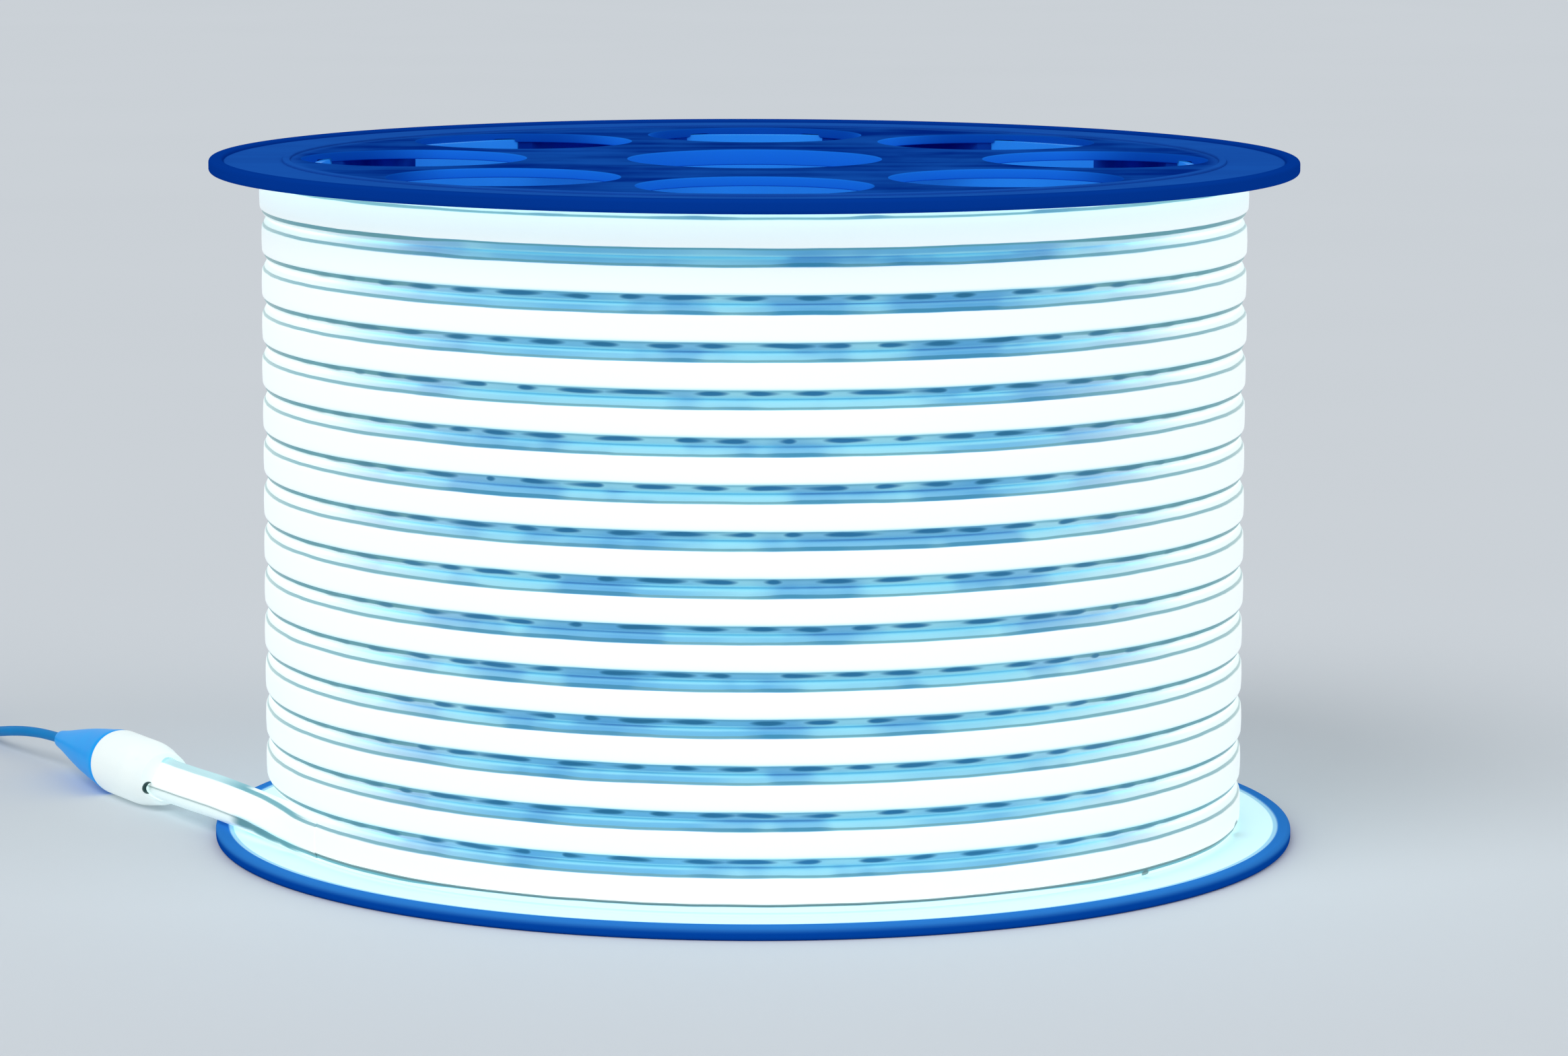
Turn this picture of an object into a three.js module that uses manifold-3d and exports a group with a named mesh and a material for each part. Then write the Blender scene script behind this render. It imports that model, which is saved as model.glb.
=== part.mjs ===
// A reel of glowing rope light, standing on one flange.
// Millimetres, Z up. The origin is the reel's axis, on the floor.
import * as THREE from "three";
import { mergeVertices } from "three/addons/utils/BufferGeometryUtils.js";
import Module from "manifold-3d";

const wasm = await Module();
wasm.setup();

// Gaps between pieces
const touchGap = 0.3;

// Rope light: a flat extruded jacket, wound on edge side by side
const ropeWidth = 13.4;
const ropeThickness = 7.5;
const ropeCorner = 2.4;
const turnGap = 0.3;
const turnsPerLayer = 15;
const layers = 2;
const creaseDepth = 1.7;
const crownShare = 0.2;
const firstTurnLift = 1.6;
const rollColumns = 48;
const stepOverShare = 40 / 360;
const climbShare = 18 / 360;
const ropeEndShare = 240 / 360;
const rollStartAngle = Math.PI / 2;

// Flanges
const flangeBorder = 16.1;
const discThickness = 3;
const discRecess = 1;
const rimHeight = 4.3;
const rimWidth = 4.5;
const rimFlat = 2.7;
const rimRound = 0.9;
const windowCount = 8;
const windowWeb = 11.5;
const windowPastTube = 2.9;
const hubHoleRadius = 39.5;
const hubCollarWidth = 3.2;
const hubCollarHeight = 2;
const ridgePastTube = 7.4;
const ridgeWidth = 2.4;
const ridgeHeight = 0.7;
const grooveDepth = 1.2;
const spigotHeight = 6;
const spigotWidth = 2.5;
const flangeSegments = 60;

// Core tube that joins the flanges
const tubeRadius = 138.6;
const tubeWall = 2.5;

// Feed connector on the free end of the rope
const mouthWall = 1.4;
const mouthRound = 0.6;
const connectorFlare = 2;
const connectorTaper = 12;
const connectorSegments = 24;
const connectorLength = 36.5;
const connectorWall = 1.7;
const mouthDepth = 10;
const ropeInMouth = 8.4;
const pinRadius = 0.6;
const pinSpacing = 6.4;
const pinInRope = 6;
const boardFromMouth = 3;
const boardFromBoot = 2.3;
const boardWidth = 12;
const boardThickness = 1.2;
const blockLength = 8.6;
const blockWidth = 6.4;
const blockHeight = 3.2;

// Cone boot and power lead. The boot's waist points are shares of its base radius and length.
const bootLength = 47.5;
const bootStepIn = 0.2;
const bootBaseLength = 2;
const bootTipWall = 0.9;
const bootTipLip = 0.9;
const bootWaist = [[0.84, 0.3], [0.61, 0.6]];
const bootLipShare = 0.88;
const bootSpigotLength = 6;
const leadRadius = 1.7;
const leadInBoot = 24;
const wireRadius = 0.65;
const coilRadius = 20.2;
const coilColumns = 4;
const coilLayers = 2;
const coilCentre = new THREE.Vector2(-303, 196);
const tieWidth = 4.5;
const tieThickness = 0.8;
const tieAngle = THREE.MathUtils.degToRad(115);
const tieLockSize = 5;

// Plug
const plugEntryX = -328.3;
const plugEntryY = 166;
const plugThickness = 13.7;
const plugLength = 33;
const plugPinMargin = 8.15;
const plugEntryHalf = 5;
const plugBevel = 1.5;
const plugPinRadius = 2;
const plugPinLength = 19;
const plugPinSpacing = 19;
const plugPinRoot = 6;
const leadInPlug = 6;
const plugNeckShare = 0.2;
const plugShoulderShare = 0.5;
const plugFaceShare = 0.64;
const plugShoulderStep = 2;
const plugNeckStep = 0.5;

// Sizes worked out from the ones above
const turnPitch = ropeWidth + turnGap;
const faceHeight = discRecess + discThickness;
const reelHeight = 2 * faceHeight + turnsPerLayer * turnPitch + 2 * touchGap;
const rollBottom = faceHeight + touchGap;
const rollTop = rollBottom + turnsPerLayer * turnPitch;
const rollBore = tubeRadius + touchGap;
const innerCrown = rollBore + (layers - 1) * ropeThickness;
const outerCrown = rollBore + layers * ropeThickness;
const ropeLevel = rollBottom + ropeWidth / 2;
const flangeRadius = outerCrown + flangeBorder;
const windowReach = tubeRadius + windowPastTube;
const halfStep = Math.sin(Math.PI / windowCount);
const windowRadius = (windowReach * halfStep - windowWeb / 2) / (1 + halfStep);
const windowCircle = windowReach - windowRadius;
const ridgeRadius = tubeRadius + ridgePastTube;
const ropeEndAngle = rollStartAngle - ropeEndShare * 2 * Math.PI;
const ropeDiagonal = Math.hypot(ropeWidth / 2 - ropeCorner, ropeThickness / 2 - ropeCorner) + ropeCorner;
const connectorMouthRadius = ropeDiagonal + touchGap + mouthWall;
const connectorRadius = connectorMouthRadius + connectorFlare;
const bootBaseRadius = connectorRadius - bootStepIn;
const bootBore = leadRadius + touchGap;
const plugFaceHalf = plugPinSpacing / 2 + plugPinMargin;
const plugLevel = plugThickness / 2;

// Materials
function material(color, roughness, metalness = 0) {
  return new THREE.MeshStandardMaterial({ color, roughness, metalness });
}
const flangePlastic = material(0x0a3fa8, 0.3);
const tubePlastic = material(0x1f5fd0, 0.35);
const litJacket = material(0xeafcff, 0.35);
litJacket.emissive = new THREE.Color(0xcdf4ff);
const whitePlastic = material(0xf4f6f4, 0.4);
const blueBootPlastic = material(0x3fa0ee, 0.45);
const darkJacket = material(0x14426e, 0.55);
const boardLaminate = material(0x2c6b3a, 0.6);
const blackResin = material(0x18191b, 0.5);
const wireLive = material(0x7a4a2a, 0.5);
const wireNeutral = material(0x2d66c4, 0.5);
const brass = material(0xc9a65a, 0.3, 1);
const nickel = material(0xc9ccd0, 0.25, 1);
const tieNylon = material(0x22262b, 0.5);

// Joins vertices that share a place, and drops the faces that this flattens.
function welded(geometry) {
  const bare = new THREE.BufferGeometry();
  bare.setAttribute("position", geometry.getAttribute("position"));
  bare.setIndex(geometry.getIndex());
  const merged = mergeVertices(bare, 1e-4);
  const source = merged.getIndex().array;
  const kept = [];
  for (let i = 0; i < source.length; i += 3) {
    const [a, b, c] = [source[i], source[i + 1], source[i + 2]];
    if (a !== b && b !== c && c !== a) kept.push(a, b, c);
  }
  merged.setIndex(kept);
  return merged;
}

function solid(geometry) {
  const closed = welded(geometry);
  return new wasm.Manifold(
    new wasm.Mesh({
      numProp: 3,
      vertProperties: new Float32Array(closed.getAttribute("position").array),
      triVerts: new Uint32Array(closed.getIndex().array),
    }),
  );
}

function geometryOf(made) {
  const mesh = made.getMesh();
  const geometry = new THREE.BufferGeometry();
  geometry.setAttribute("position", new THREE.BufferAttribute(mesh.vertProperties, 3));
  geometry.setIndex(new THREE.BufferAttribute(mesh.triVerts, 1));
  geometry.computeVertexNormals();
  return geometry;
}

function cut(geometry, ...cutters) {
  return geometryOf(cutters.reduce((left, cutter) => left.subtract(solid(cutter)), solid(geometry)));
}

function join(geometry, ...others) {
  return geometryOf(others.reduce((whole, other) => whole.add(solid(other)), solid(geometry)));
}

// A profile of [radius, height] points turned about Z. It runs up the outside and down the inside.
function turnedAboutZ(profile, segments) {
  const points = profile.map(([radius, height]) => new THREE.Vector2(radius, height));
  return new THREE.LatheGeometry(points, segments).rotateX(Math.PI / 2);
}

// The same about X, with heights along +X.
function turnedAboutX(profile, segments) {
  const points = profile.map(([radius, along]) => new THREE.Vector2(radius, along));
  return new THREE.LatheGeometry(points, segments).rotateZ(-Math.PI / 2);
}

function rodAlongX(radius, from, to, y, z, segments = 16) {
  return new THREE.CylinderGeometry(radius, radius, to - from, segments)
    .rotateZ(-Math.PI / 2)
    .translate((from + to) / 2, y, z);
}

function roundedRectangle(width, height, corner) {
  const [x, y] = [width / 2, height / 2];
  const shape = new THREE.Shape();
  shape.absarc(x - corner, y - corner, corner, 0, Math.PI / 2);
  shape.absarc(corner - x, y - corner, corner, Math.PI / 2, Math.PI);
  shape.absarc(corner - x, corner - y, corner, Math.PI, 1.5 * Math.PI);
  shape.absarc(x - corner, corner - y, corner, 1.5 * Math.PI, 2 * Math.PI);
  return shape;
}

function circle(radius) {
  const shape = new THREE.Shape();
  shape.absarc(0, 0, radius, 0, 2 * Math.PI);
  return shape;
}

// A path that carries its cross-section at stated angles: normalAt gives the section's X direction.
class FramedPath extends THREE.CatmullRomCurve3 {
  constructor(points, normalAt) {
    super(points);
    this.normalAt = normalAt;
  }

  computeFrenetFrames(segments) {
    const frames = { tangents: [], normals: [], binormals: [] };
    for (let i = 0; i <= segments; i++) {
      const share = i / segments;
      const tangent = this.getTangentAt(share);
      const binormal = tangent.clone().cross(this.normalAt(share, tangent)).normalize();
      frames.tangents.push(tangent);
      frames.binormals.push(binormal);
      frames.normals.push(binormal.clone().cross(tangent));
    }
    return frames;
  }
}

function swept(shape, path, steps, curveSegments) {
  return new THREE.ExtrudeGeometry(shape, { extrudePath: path, steps, curveSegments });
}

function pathFrom(points, normalAt) {
  return new FramedPath(points.map((p) => new THREE.Vector3(...p)), normalAt);
}

// The side of a path that keeps a round tube's section level.
function levelSide(share, tangent) {
  return new THREE.Vector3(-tangent.y, tangent.x, 0);
}

const reel = new THREE.Group();

function place(name, geometry, finish, parent = reel) {
  const mesh = new THREE.Mesh(geometry, finish);
  mesh.name = name;
  parent.add(mesh);
  return mesh;
}

// Flange: a disc in a rounded rim, with a hub hole, a ridge, and a seat for the core tube.
function flangeProfile() {
  const rimInner = flangeRadius - rimWidth;
  const flatInner = flangeRadius - rimRound - rimFlat;
  const underside = discRecess;
  const seatOuter = tubeRadius + touchGap;
  const seatInner = tubeRadius - tubeWall - touchGap;
  const seatFloor = faceHeight - grooveDepth;
  const collarEdge = hubHoleRadius + hubCollarWidth;
  return [
    [hubHoleRadius, underside],
    [ridgeRadius - ridgeWidth / 2, underside],
    [ridgeRadius - ridgeWidth / 4, underside - ridgeHeight],
    [ridgeRadius + ridgeWidth / 4, underside - ridgeHeight],
    [ridgeRadius + ridgeWidth / 2, underside],
    [rimInner, underside],
    [flatInner, 0],
    [flangeRadius - rimRound, 0],
    [flangeRadius, rimRound],
    [flangeRadius, rimHeight - rimRound],
    [flangeRadius - rimRound, rimHeight],
    [flatInner, rimHeight],
    [rimInner, faceHeight],
    [seatOuter, faceHeight],
    [seatOuter, seatFloor],
    [seatInner, seatFloor],
    [seatInner, faceHeight + spigotHeight],
    [seatInner - spigotWidth, faceHeight + spigotHeight],
    [seatInner - spigotWidth, faceHeight],
    [collarEdge, faceHeight],
    [collarEdge, faceHeight + hubCollarHeight],
    [hubHoleRadius, faceHeight + hubCollarHeight],
    [hubHoleRadius, underside],
  ];
}

function flangeGeometry() {
  const cutters = [];
  for (let i = 0; i < windowCount; i++) {
    const angle = (i * 2 * Math.PI) / windowCount;
    const height = 4 * (faceHeight + spigotHeight);
    const cutter = new THREE.CylinderGeometry(windowRadius, windowRadius, height, 32);
    cutter.rotateX(Math.PI / 2);
    cutter.translate(windowCircle * Math.cos(angle), windowCircle * Math.sin(angle), 0);
    cutters.push(cutter);
  }
  return cut(turnedAboutZ(flangeProfile(), flangeSegments), ...cutters);
}

const flange = flangeGeometry();
place("bottom_flange", flange, flangePlastic);
const topFlange = place("top_flange", flange, flangePlastic);
topFlange.rotation.x = Math.PI;
topFlange.position.z = reelHeight;

// Core tube: its ends stand in the flanges' seats.
const tubeEnd = faceHeight - grooveDepth + touchGap;
const tubeProfile = [
  [tubeRadius, tubeEnd],
  [tubeRadius, reelHeight - tubeEnd],
  [tubeRadius - tubeWall, reelHeight - tubeEnd],
  [tubeRadius - tubeWall, tubeEnd],
  [tubeRadius, tubeEnd],
];
place("core_tube", turnedAboutZ(tubeProfile, flangeSegments), tubePlastic);

// Rope light roll. A turn runs level round the drum, clockwise from above, and steps down one
// pitch at the back. The last turn ends where the free tail leaves.
function smooth(share) {
  const held = THREE.MathUtils.clamp(share, 0, 1);
  return held * held * (3 - 2 * held);
}

function crownRadius(band, share, pastEnd) {
  const lastBand = turnsPerLayer - 1;
  if (band < 0 || (band === lastBand && pastEnd)) return innerCrown;
  if (band > 0) return outerCrown;
  const lift = firstTurnLift * Math.sin(Math.PI * smooth(share)) ** 2;
  return innerCrown + ropeThickness * smooth(share / climbShare) + lift;
}

// One upright section of the roll as [radius, height] points, from the bore's top to its bottom.
function rollSection(share, pastEnd) {
  const stepped = smooth((share - 1 + stepOverShare) / stepOverShare);
  const edge = (k) => rollTop - THREE.MathUtils.clamp(k + stepped, 0, turnsPerLayer) * turnPitch;
  const innerCrease = innerCrown - creaseDepth;
  const section = [[rollBore, rollTop], [innerCrease, rollTop]];
  for (let band = -1; band < turnsPerLayer; band++) {
    const [top, bottom] = [edge(band), edge(band + 1)];
    const crown = crownRadius(band, share, pastEnd);
    const bulge = (creaseDepth * (top - bottom)) / turnPitch;
    const crease = crown - creaseDepth;
    section.push([crease, top]);
    section.push([crease + bulge, top + (bottom - top) * crownShare]);
    section.push([crease + bulge, bottom + (top - bottom) * crownShare]);
    section.push([crease, bottom]);
  }
  section.push([innerCrease, rollBottom], [rollBore, rollBottom]);
  return section;
}

function rollGeometry() {
  const columns = [];
  for (let i = 0; i <= rollColumns; i++) {
    const share = i / rollColumns;
    columns.push([share, share > ropeEndShare]);
    if (i === Math.round(ropeEndShare * rollColumns)) columns.push([share, true]);
  }
  const positions = [];
  const indices = [];
  let rows = 0;
  for (const [share, pastEnd] of columns) {
    const angle = rollStartAngle - (share % 1) * 2 * Math.PI;
    const section = rollSection(share, pastEnd);
    rows = section.length;
    for (const [radius, height] of section) {
      positions.push(radius * Math.cos(angle), radius * Math.sin(angle), height);
    }
  }
  for (let column = 0; column + 1 < columns.length; column++) {
    for (let row = 0; row < rows; row++) {
      const a = column * rows + row;
      const b = column * rows + ((row + 1) % rows);
      const [c, d] = [b + rows, a + rows];
      indices.push(a, c, b, a, d, c);
    }
  }
  const geometry = new THREE.BufferGeometry();
  geometry.setAttribute("position", new THREE.Float32BufferAttribute(positions, 3));
  geometry.setIndex(indices);
  return welded(geometry);
}
place("rope_light_roll", rollGeometry(), litJacket);

// Free tail of the rope: straight off the drum and over the rim, leaning back from upright.
const tailRun = [
  [-130.4, -75.0, ropeLevel],
  [-138.4, -61.1, ropeLevel],
  [-146.4, -47.3, 11.2],
  [-154.4, -33.4, 11.4],
  [-162.4, -19.6, 11.5],
  [-170.4, -5.7, 11.4],
  [-178.4, 8.1, 11.0],
  [-185.4, 20.3, 10.7],
  [-189.9, 28.1, connectorRadius],
  [-193.7, 34.5, connectorRadius],
];
const twistStart = 0.04;
const twistEnd = 0.4;
const tailLean = THREE.MathUtils.degToRad(30);

function litSide(share, tangent) {
  const outward = new THREE.Vector3(-tangent.y, tangent.x, 0).normalize();
  const upward = tangent.clone().cross(outward);
  const turn = smooth((share - twistStart) / (twistEnd - twistStart)) * tailLean;
  return outward.multiplyScalar(Math.cos(turn)).addScaledVector(upward, Math.sin(turn));
}

const tailPath = pathFrom(tailRun, litSide);
const tailEnd = tailPath.getPoint(1);
const feedAngle = ropeEndAngle - Math.PI / 2;
const feed = new THREE.Group();
feed.rotation.set(tailLean - Math.PI / 2, 0, feedAngle, "ZYX");
feed.position.set(
  tailEnd.x - ropeInMouth * Math.cos(feedAngle),
  tailEnd.y - ropeInMouth * Math.sin(feedAngle),
  connectorRadius,
);
feed.updateMatrixWorld();
reel.add(feed);

const ropeSection = roundedRectangle(ropeThickness, ropeWidth, ropeCorner);
const pinHoles = [-1, 1].map((side) => {
  const from = ropeInMouth - pinInRope - 1;
  const hole = rodAlongX(pinRadius + touchGap, from, ropeInMouth + 1, (side * pinSpacing) / 2, 0, 8);
  return hole.applyMatrix4(feed.matrixWorld);
});
place("rope_light_tail", cut(swept(ropeSection, tailPath, 22, 2), ...pinHoles), litJacket);

// Feed connector, in a group whose X axis runs from the rope to the lead.
const chamberRadius = connectorRadius - connectorWall;
const shellProfile = [
  [0, 0],
  [connectorMouthRadius - mouthRound, 0],
  [connectorMouthRadius, mouthRound],
  [connectorRadius - mouthRound / 2, 0.8 * connectorTaper],
  [connectorRadius, connectorTaper],
  [connectorRadius, connectorLength],
  [0, connectorLength],
];
const mouthSection = roundedRectangle(
  ropeThickness + 2 * touchGap,
  ropeWidth + 2 * touchGap,
  ropeCorner + touchGap,
);
const mouthSlot = new THREE.ExtrudeGeometry(mouthSection, {
  depth: 2 * mouthDepth,
  bevelEnabled: false,
  curveSegments: 3,
});
mouthSlot.rotateY(Math.PI / 2).translate(-mouthDepth / 2, 0, 0);
const chamber = rodAlongX(chamberRadius, mouthDepth, connectorLength + 1, 0, 0, connectorSegments);
const shell = cut(turnedAboutX(shellProfile, connectorSegments), mouthSlot, chamber);
place("connector_body", shell, whitePlastic, feed);

const bootStart = connectorLength + touchGap;
const boardStart = mouthDepth + boardFromMouth;
const boardEnd = bootStart - bootSpigotLength - boardFromBoot;
const boardLength = boardEnd - boardStart;
for (const [name, side] of [["contact_pin_left", 1], ["contact_pin_right", -1]]) {
  const from = ropeInMouth - pinInRope;
  const pin = rodAlongX(pinRadius, from, boardStart - touchGap, (side * pinSpacing) / 2, 0, 8);
  place(name, pin, brass, feed);
}
const board = new THREE.BoxGeometry(boardLength, boardWidth, boardThickness);
place("rectifier_board", board.translate((boardStart + boardEnd) / 2, 0, 0), boardLaminate, feed);
const block = new THREE.BoxGeometry(blockLength, blockWidth, blockHeight);
block.translate((boardStart + boardEnd) / 2, 0, boardThickness / 2 + touchGap + blockHeight / 2);
place("rectifier_block", block, blackResin, feed);

// Cone boot: its spigot plugs the back of the connector, and the lead runs through it.
const bootTip = bootStart + bootLength;
const bootTipRadius = bootBore + bootTipWall;
const bootProfile = [
  [bootBore, bootStart - bootSpigotLength],
  [chamberRadius - touchGap, bootStart - bootSpigotLength],
  [chamberRadius - touchGap, bootStart],
  [bootBaseRadius, bootStart],
  [bootBaseRadius, bootStart + bootBaseLength],
  ...bootWaist.map(([radius, along]) => [radius * bootBaseRadius, bootStart + along * bootLength]),
  [bootTipRadius + bootTipLip, bootStart + bootLipShare * bootLength],
  [bootTipRadius, bootTip],
  [bootBore, bootTip],
  [bootBore, bootStart - bootSpigotLength],
];
place("cone_boot", turnedAboutX(bootProfile, connectorSegments), blueBootPlastic, feed);

const leadStart = bootTip - leadInBoot;
for (const [name, side, finish] of [["lead_wire_live", 1, wireLive], ["lead_wire_neutral", -1, wireNeutral]]) {
  const offset = side * (wireRadius + touchGap / 2);
  const wire = rodAlongX(wireRadius, boardEnd + touchGap, leadStart - touchGap, offset, 0, 8);
  place(name, wire, finish, feed);
}

// Power lead: out of the boot, down to the floor, and on to the coil.
const leadRun = [
  [-219.7, 79.4, connectorRadius],
  [-225.5, 89.6, connectorRadius],
  [-231.7, 100.2, connectorRadius],
  [-235.0, 106.0, 10.5],
  [-240.6, 115.0, 10.0],
  [-246.8, 124.4, 9.0],
  [-252.8, 134.2, 7.4],
  [-258.2, 144.6, 5.4],
  [-262.9, 155.6, 3.4],
  [-266.9, 167.2, 2.2],
  [-270.6, 178.6, 1.8],
  [-274.7, 190.0, 2.1],
];
const leadPath = pathFrom(leadRun, levelSide);
place("power_lead", swept(circle(leadRadius), leadPath, 36, 4), darkJacket);

// Coil of the spare lead, standing on the tie's strap.
const coilHalfWidth = coilColumns * leadRadius;
const coilHeight = coilLayers * leadRadius * 2;
const coilBottom = tieThickness + touchGap;
const coilEdge = leadRadius / 2;
const coilProfile = [
  [coilRadius - coilHalfWidth + coilEdge, coilBottom],
  [coilRadius + coilHalfWidth - coilEdge, coilBottom],
  [coilRadius + coilHalfWidth, coilBottom + coilEdge],
  [coilRadius + coilHalfWidth, coilBottom + coilHeight - coilEdge],
  [coilRadius + coilHalfWidth - coilEdge, coilBottom + coilHeight],
  [coilRadius - coilHalfWidth + coilEdge, coilBottom + coilHeight],
  [coilRadius - coilHalfWidth, coilBottom + coilHeight - coilEdge],
  [coilRadius - coilHalfWidth, coilBottom + coilEdge],
  [coilRadius - coilHalfWidth + coilEdge, coilBottom],
];
const coil = place("power_lead_coil", turnedAboutZ(coilProfile, 36), darkJacket);
coil.position.set(coilCentre.x, coilCentre.y, 0);

// Tie: a strap round the coil's section, with its lock outside.
const strapInside = coilHeight + 2 * touchGap;
const strapSpan = 2 * coilHalfWidth + 2 * touchGap;
const strap = new THREE.BoxGeometry(strapSpan + 2 * tieThickness, tieWidth, strapInside + 2 * tieThickness);
const strapHole = new THREE.BoxGeometry(strapSpan, 2 * tieWidth, strapInside);
const lock = new THREE.BoxGeometry(tieLockSize, tieWidth + 2, tieLockSize);
lock.translate(strapSpan / 2 + tieLockSize / 2, 0, 0);
const tie = place("coil_tie", join(cut(strap, strapHole), lock), tieNylon);
tie.position.set(
  coilCentre.x + coilRadius * Math.cos(tieAngle),
  coilCentre.y + coilRadius * Math.sin(tieAngle),
  strapInside / 2 + tieThickness,
);
tie.rotation.z = tieAngle;

// Plug, in a group whose X axis runs from the lead to the pins.
const plug = new THREE.Group();
plug.position.set(plugEntryX, plugEntryY, plugLevel);
plug.rotation.z = -Math.PI / 2;
reel.add(plug);

const leadEndRun = [
  [-328.6, 182.2, 6.4],
  [-328.5, 177.5, 6.5],
  [-328.3, 172.5, 6.75],
  [plugEntryX, 168.0, plugLevel],
  [plugEntryX, plugEntryY - leadInPlug + touchGap, plugLevel],
];

const plugOutline = new THREE.Shape();
const outlineHalf = [
  [plugBevel, plugEntryHalf - plugBevel],
  [plugNeckShare * plugLength, plugEntryHalf - plugBevel + plugNeckStep],
  [plugShoulderShare * plugLength, plugFaceHalf - plugBevel - plugShoulderStep],
  [plugFaceShare * plugLength, plugFaceHalf - plugBevel],
  [plugLength - plugBevel, plugFaceHalf - plugBevel],
];
const outline = [
  ...outlineHalf.map(([x, y]) => new THREE.Vector2(x, -y)),
  ...outlineHalf.toReversed().map(([x, y]) => new THREE.Vector2(x, y)),
];
plugOutline.setFromPoints(outline);
const plugBlock = new THREE.ExtrudeGeometry(plugOutline, {
  depth: plugThickness - 2 * plugBevel,
  bevelThickness: plugBevel,
  bevelSize: plugBevel,
  bevelSegments: 2,
});
plugBlock.translate(0, 0, plugBevel - plugThickness / 2);
const entryHole = rodAlongX(leadRadius + touchGap, -1, leadInPlug, 0, 0, 8);
const pinSockets = [-1, 1].map((side) => {
  const from = plugLength - plugPinRoot - touchGap;
  return rodAlongX(plugPinRadius + touchGap, from, plugLength + 1, (side * plugPinSpacing) / 2, 0);
});
place("plug_body", cut(plugBlock, entryHole, ...pinSockets), whitePlastic, plug);
for (const [name, side] of [["plug_pin_left", 1], ["plug_pin_right", -1]]) {
  const from = plugLength - plugPinRoot;
  const pin = rodAlongX(plugPinRadius, from, plugLength + plugPinLength, (side * plugPinSpacing) / 2, 0);
  place(name, pin, nickel, plug);
}
place("power_lead_end", swept(circle(leadRadius), pathFrom(leadEndRun, levelSide), 10, 4), darkJacket);

export default reel;
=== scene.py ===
import math

import bpy
from mathutils import Matrix, Vector, noise


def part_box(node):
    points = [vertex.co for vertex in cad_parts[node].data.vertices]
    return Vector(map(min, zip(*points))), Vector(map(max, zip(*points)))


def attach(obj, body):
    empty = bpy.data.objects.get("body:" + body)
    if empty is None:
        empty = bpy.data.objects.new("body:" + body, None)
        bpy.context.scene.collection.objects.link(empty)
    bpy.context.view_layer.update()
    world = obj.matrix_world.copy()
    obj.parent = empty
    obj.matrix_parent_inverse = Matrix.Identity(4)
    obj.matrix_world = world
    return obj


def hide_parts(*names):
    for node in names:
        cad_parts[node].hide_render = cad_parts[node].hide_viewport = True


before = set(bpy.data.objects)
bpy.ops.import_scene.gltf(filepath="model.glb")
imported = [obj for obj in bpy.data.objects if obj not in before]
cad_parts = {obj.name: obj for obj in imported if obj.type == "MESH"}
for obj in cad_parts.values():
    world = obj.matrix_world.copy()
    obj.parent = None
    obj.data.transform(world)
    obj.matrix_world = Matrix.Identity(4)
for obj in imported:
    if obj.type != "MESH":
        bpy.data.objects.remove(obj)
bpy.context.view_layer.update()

MM = 0.001

# Sizes of the frame, read from the frame itself
reel_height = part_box("top_flange")[1].z
flange_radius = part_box("bottom_flange")[1].x
tube_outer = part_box("core_tube")[1].x
roll_low, roll_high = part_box("rope_light_roll")
roll_bottom = roll_low.z
roll_top = roll_high.z

# Rope light
rope_width = 13.4 * MM
rope_thickness = 7.5 * MM
turns = 15
turn_pitch = (roll_top - roll_bottom) / turns
roll_bore = tube_outer + 0.3 * MM
inner_layer = roll_bore + rope_thickness / 2
outer_layer = inner_layer + rope_thickness
lamp_pitch = 16.67 * MM
first_turn_lift = 1.6 * MM
dark_spots = [((118.0, -98.3, 5.4), 1.6 * MM), ((150.6, -30.0, 6.6), 2.6 * MM)]
spot_stretch = (1, 0.35, 1)
# Colour of the dark spots, and of the painted shade line on the bottom turn
shade_and_spot_colour = (0.10, 0.15, 0.15)
step_share = 40 / 360
climb_share = 18 / 360
last_turn_share = 240 / 360
roll_start = math.pi / 2

# Feed: the connector's mouth and the way it points
feed_turn = math.radians(120)
feed_way = Vector((math.cos(feed_turn), math.sin(feed_turn), 0))
feed_side = Vector((-math.sin(feed_turn), math.cos(feed_turn), 0))
mouth = Vector((-189.5, 27.225, 10.607)) * MM
connector_length = 36.5 * MM
boot_length = 47.5 * MM
tail_lean = math.radians(30)
lit_way = feed_side * math.cos(tail_lean) + Vector((0, 0, math.sin(tail_lean)))
feed_axes = Matrix((lit_way.cross(feed_way), lit_way, feed_way)).transposed()
feed_matrix = Matrix.Translation(mouth) @ feed_axes.to_4x4()
gap_place = feed_matrix @ (Vector((5.0, 4.2, 0)) * MM)
gap_radius = 1.7 * MM
grey_spot_place = Vector((-199.5, 28.6, 17.6)) * MM
lead_radius = 1.7 * MM
boot_gap = 0.3 * MM

# Reel's sizes
disc_low = 1 * MM
disc_high = 4 * MM
rim_height = 4.3 * MM
rim_width = 4.5 * MM
window_radius = 35 * MM
window_circle = 106.5 * MM
window_count = 8
window_lip = 0.6 * MM
hub_radius = 39.5 * MM
hub_collar = 3.2 * MM
hub_collar_top = 6 * MM
ridge_radius = 146 * MM
ridge_width = 2.4 * MM
ridge_height = 0.7 * MM
seat_inner = 135.8 * MM
seat_outer = 138.9 * MM
seat_floor = 2.8 * MM
spigot_width = 2.5 * MM
spigot_top = 10 * MM
sunk = 0.5 * MM
ring_steps = 240
round_steps = 96
streak_scale = (9, 60, 9)


# Camera at the photograph's viewing angle
def make_camera():
    lens = bpy.data.cameras.new("camera")
    lens.lens = 130.07
    lens.sensor_width = 36
    camera = bpy.data.objects.new("camera", lens)
    bpy.context.scene.collection.objects.link(camera)
    camera.location = (0, -1.7704, 0.3449)
    camera.rotation_euler = (math.pi / 2 - 0.1394, -0.0025, -0.0050)
    bpy.context.scene.camera = camera


make_camera()


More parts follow.
